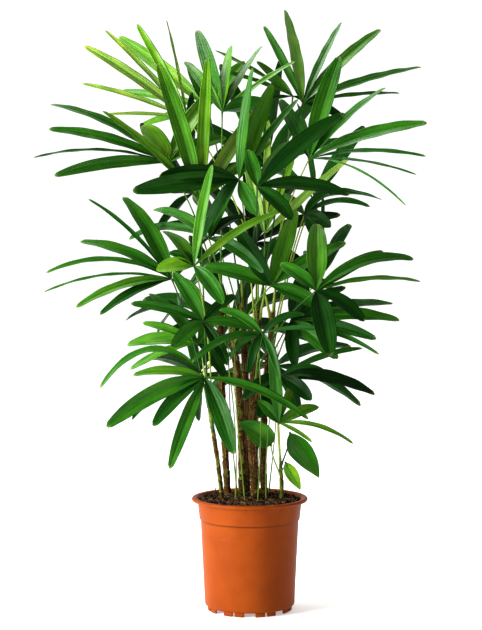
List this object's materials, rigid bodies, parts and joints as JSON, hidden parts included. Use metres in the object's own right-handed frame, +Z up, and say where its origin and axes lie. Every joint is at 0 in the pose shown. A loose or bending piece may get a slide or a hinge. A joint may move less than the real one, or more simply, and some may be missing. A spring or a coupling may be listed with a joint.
{
  "type": "potted lady palm",
  "caption": "Clump of slender brown canes in a round terracotta-coloured nursery pot, with long-stalked fans of blunt, folded, arching blades on all sides.",
  "frame": {"origin": "middle of the bounding box at the level of the pot's foot", "axes": "+Z up along the canes, -Y towards the front of the plant, +X to its right as seen from the front"},
  "size_m": [0.6888, 0.5148, 1.0905],
  "materials": {
    "pot": "satin moulded",
    "soil": "loose, rough",
    "cane": "fibrous, matte",
    "leaf": "waxy, semi-gloss",
    "young_leaf": "waxy, semi-gloss"
  },
  "bodies": {
    "root": {"pot": "pot", "soil": "soil", "cane_left": "cane", "cane_leftBack": "cane", "cane_middleLeft": "cane", "cane_middle": "cane", "cane_middleRight": "cane", "cane_back": "cane", "cane_young": "cane", "frond_01": "leaf", "frond_02": "leaf", "frond_03": "leaf", "frond_04": "leaf", "frond_05": "leaf", "frond_06": "leaf", "frond_07": "leaf", "frond_08": "leaf", "frond_09": "leaf", "frond_10": "leaf", "frond_11": "young_leaf", "frond_12": "leaf", "frond_13": "leaf", "frond_14": "leaf", "frond_15": "young_leaf", "frond_16": "leaf", "frond_17": "leaf", "frond_18": "leaf", "frond_19": "leaf", "frond_20": "leaf", "frond_21": "leaf", "frond_22": "leaf", "frond_23": "leaf", "frond_24": "young_leaf", "frond_25": "leaf", "frond_26": "leaf", "frond_27": "leaf", "frond_28": "leaf", "frond_29": "leaf", "frond_30": "leaf", "frond_31": "leaf", "frond_32": "leaf", "frond_33": "leaf", "young_leaf_1": "young_leaf", "young_leaf_2": "young_leaf", "young_leaf_3": "young_leaf"}
  },
  "joints": []
}
